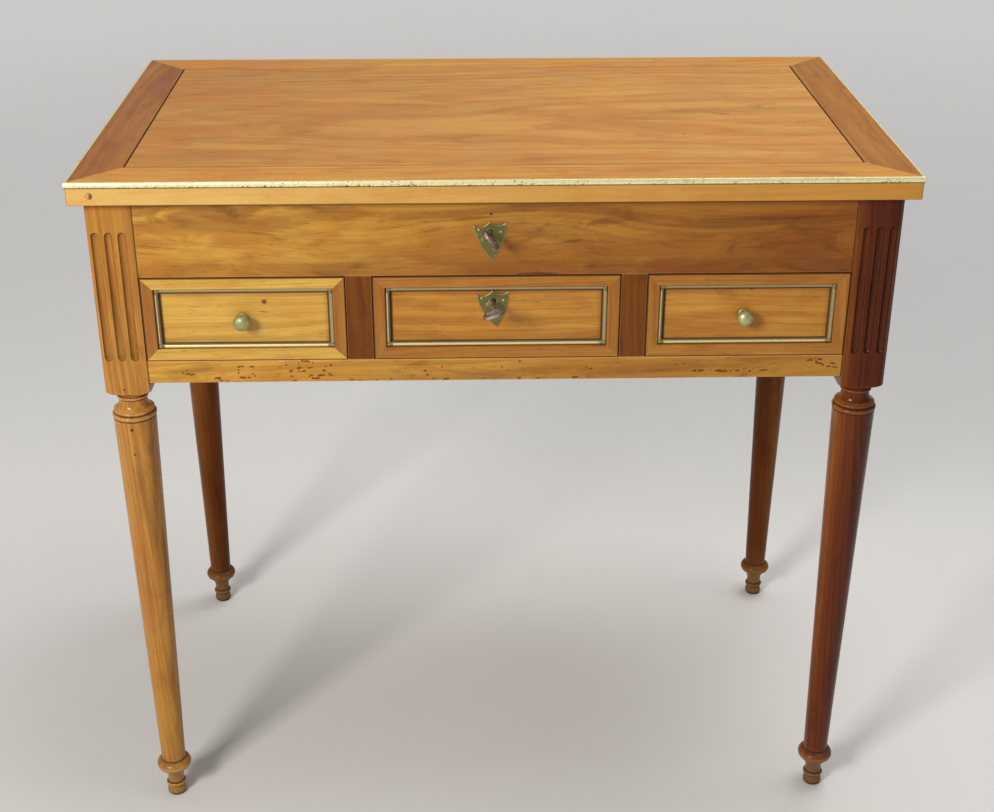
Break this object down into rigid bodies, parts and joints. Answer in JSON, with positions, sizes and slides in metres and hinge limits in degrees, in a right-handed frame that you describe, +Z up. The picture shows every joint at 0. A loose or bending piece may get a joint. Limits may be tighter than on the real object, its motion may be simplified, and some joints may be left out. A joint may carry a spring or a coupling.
{
  "type": "dressing table",
  "caption": "Antique wooden dressing table with turned legs, a hinged mirror lid over a compartment, a fluted frieze case and a row of small drawers.",
  "frame": {"origin": "on the floor, in the middle of the box that holds the whole table with its keys", "axes": "+X along the front to the right, +Y from the front to the back, +Z up"},
  "size_m": [0.803, 0.49, 0.74],
  "materials": {
    "cherry": "waxed cherry, honey coloured",
    "cherry_dark": "waxed cherry, red-brown",
    "secondary_wood": "plain oak and poplar inside",
    "brass": "old polished brass",
    "iron": "dark iron",
    "steel": "worn grey steel",
    "mirror": "silvered glass"
  },
  "bodies": {
    "case": {"leg_front_left": "cherry", "leg_front_right": "cherry_dark", "leg_rear_left": "cherry", "leg_rear_right": "cherry", "side_panel_left": "cherry", "side_panel_right": "cherry", "frieze_board": "cherry", "bottom_rail": "cherry", "back_panel": "secondary_wood", "divider_left": "cherry_dark", "divider_right": "cherry_dark", "well_bottom": "secondary_wood", "well_partitions": "secondary_wood", "drawer_runners": "secondary_wood", "drawer_guides": "secondary_wood", "hinge_leaves_case": "brass", "hinge_screws_case": "steel", "hinge_pins": "steel", "lid_lock_case": "iron", "lid_escutcheon": "brass"},
    "lid": {"lid_panel": "cherry", "lid_border_front": "cherry", "lid_border_rear": "cherry", "lid_border_left": "cherry_dark", "lid_border_right": "cherry_dark", "lid_brass_front": "brass", "lid_brass_rear": "brass", "lid_brass_left": "brass", "lid_brass_right": "brass", "mirror_glass": "mirror", "mirror_beads": "cherry", "lid_strike": "iron", "hinge_leaves_lid": "brass", "hinge_screws_lid": "steel"},
    "drawer_left": {"drawer_left_front": "cherry", "drawer_left_frame": "cherry", "drawer_left_bead": "brass", "drawer_left_sides": "secondary_wood", "drawer_left_back": "secondary_wood", "drawer_left_bottom": "secondary_wood", "drawer_left_knob": "brass"},
    "drawer_right": {"drawer_right_front": "cherry", "drawer_right_frame": "cherry", "drawer_right_bead": "brass", "drawer_right_sides": "secondary_wood", "drawer_right_back": "secondary_wood", "drawer_right_bottom": "secondary_wood", "drawer_right_knob": "brass"},
    "drawer_centre": {"drawer_centre_front": "cherry", "drawer_centre_frame": "cherry", "drawer_centre_bead": "brass", "drawer_centre_sides": "secondary_wood", "drawer_centre_back": "secondary_wood", "drawer_centre_bottom": "secondary_wood", "drawer_lock_case": "iron", "drawer_escutcheon": "brass"},
    "lid_key": {"lid_key": "steel"},
    "lid_bolt": {"lid_lock_bolt": "steel"},
    "drawer_key": {"drawer_key": "steel"},
    "drawer_bolt": {"drawer_lock_bolt": "steel"}
  },
  "joints": [
    {"name": "lid_hinge", "type": "hinge", "parent": "case", "child": "lid", "pos_m": [0, 0.2386, 0.7175], "axis": [-1, 0, 0], "range_deg": [0, 108]},
    {"name": "drawer_left_slide", "type": "slide", "parent": "case", "child": "drawer_left", "axis": [0, -1, 0], "range_m": [0, 0.27]},
    {"name": "drawer_centre_slide", "type": "slide", "parent": "case", "child": "drawer_centre", "axis": [0, -1, 0], "range_m": [0, 0.27]},
    {"name": "drawer_right_slide", "type": "slide", "parent": "case", "child": "drawer_right", "axis": [0, -1, 0], "range_m": [0, 0.27]},
    {"name": "lid_key_turn", "type": "hinge", "parent": "case", "child": "lid_key", "pos_m": [-0.006, -0.2, 0.6843], "axis": [0, -1, 0], "range_deg": [-39, 141]},
    {"name": "lid_bolt_slide", "type": "slide", "parent": "case", "child": "lid_bolt", "axis": [1, 0, 0], "range_m": [-0.00175, 0.00629]},
    {"name": "drawer_key_turn", "type": "hinge", "parent": "drawer_centre", "child": "drawer_key", "pos_m": [-0.003, -0.2, 0.6116], "axis": [0, 1, 0], "range_deg": [-68, 112]},
    {"name": "drawer_bolt_slide", "type": "slide", "parent": "drawer_centre", "child": "drawer_bolt", "axis": [0, 0, 1], "range_m": [-0.00304, 0.005]}
  ],
  "couplings": [
    {"joint": "lid_bolt_slide", "follows": "lid_key_turn", "m_per_rad": 0.0025465},
    {"joint": "drawer_bolt_slide", "follows": "drawer_key_turn", "m_per_rad": 0.0025465}
  ]
}
